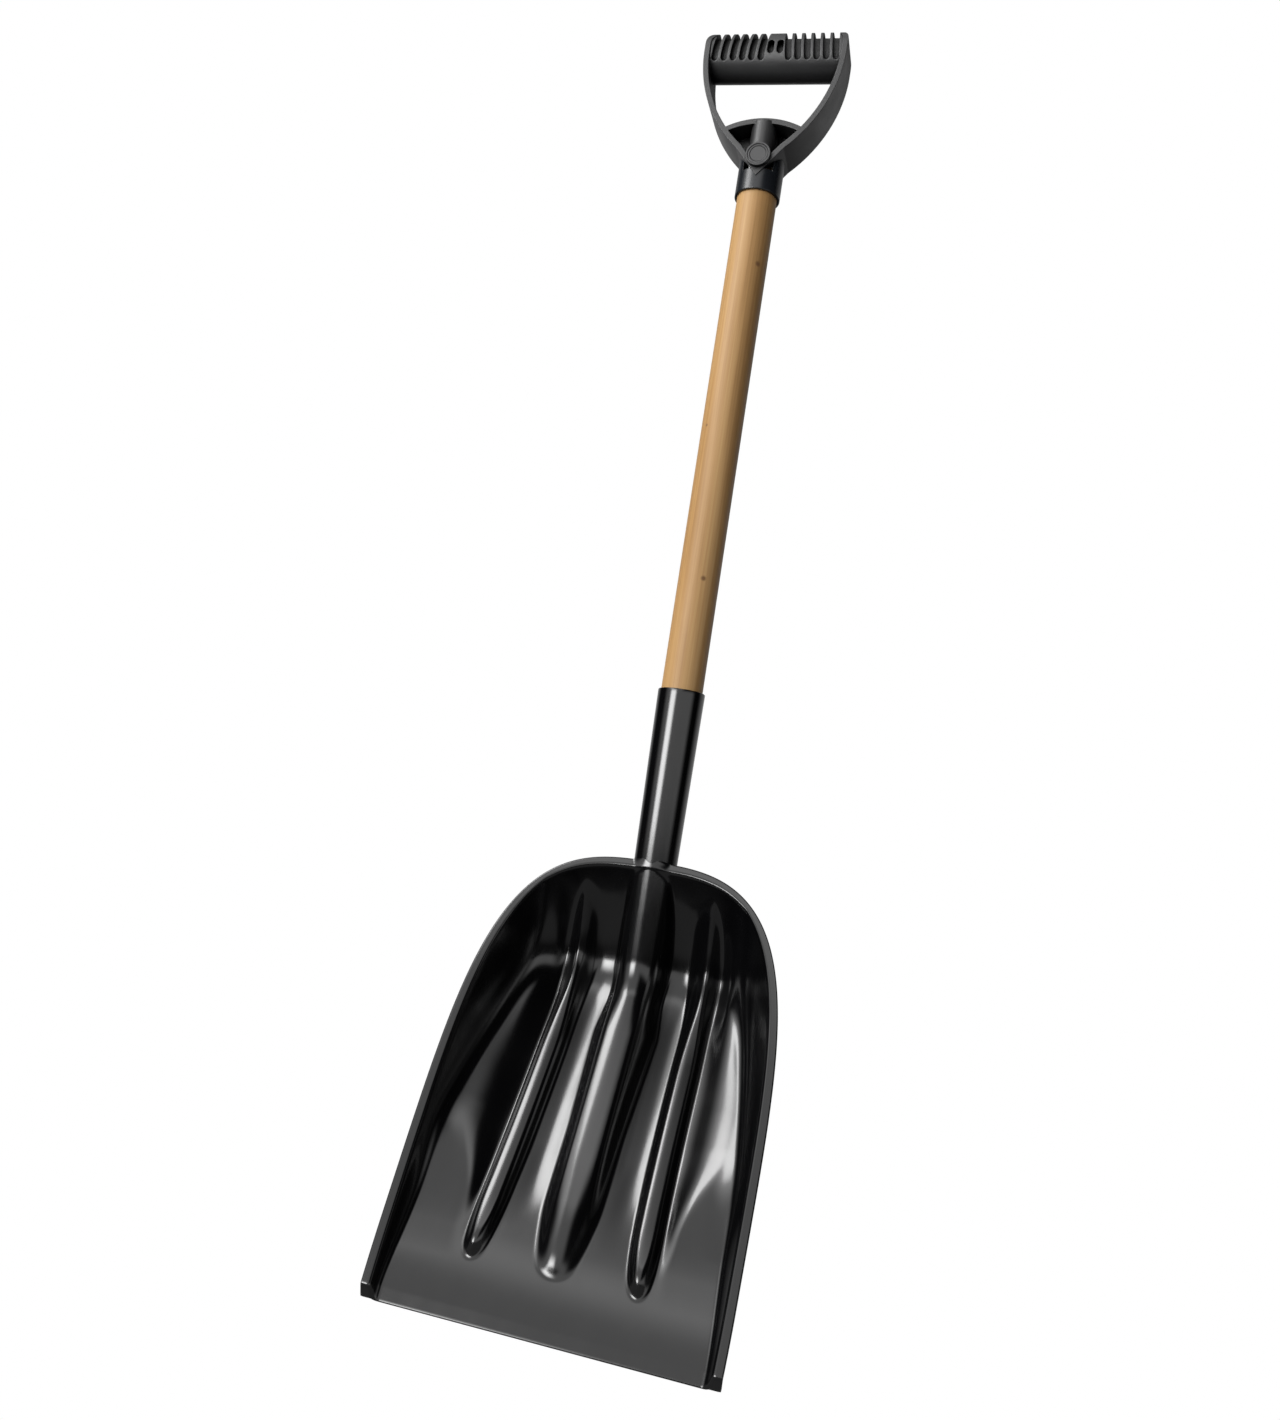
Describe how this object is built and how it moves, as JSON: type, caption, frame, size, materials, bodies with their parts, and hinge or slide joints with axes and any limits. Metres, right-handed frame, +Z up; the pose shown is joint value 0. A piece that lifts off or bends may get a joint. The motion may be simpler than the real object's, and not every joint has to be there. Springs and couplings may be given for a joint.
{
  "type": "snow shovel",
  "caption": "Snow shovel with a ribbed moulded scoop, a round wooden shaft and a D-shaped hand grip.",
  "frame": {"origin": "middle of the leading edge's end face", "axes": "+Z up along the shaft, +X across the scoop, the scoop is hollow towards -Y"},
  "size_m": [0.2972, 0.1992, 1.2195],
  "materials": {
    "blade_plastic": "glossy black moulded plastic",
    "shaft_wood": "clear lacquered light hardwood",
    "ferrule_plastic": "semi-gloss black",
    "grip_plastic": "satin charcoal, fine moulded texture",
    "screw_steel": "zinc plated"
  },
  "bodies": {
    "root": {"blade": "blade_plastic", "shaft": "shaft_wood", "ferrule": "ferrule_plastic", "grip": "grip_plastic", "grip_screw": "screw_steel", "grip_cap": "grip_plastic", "socket_screw": "screw_steel"}
  },
  "joints": []
}
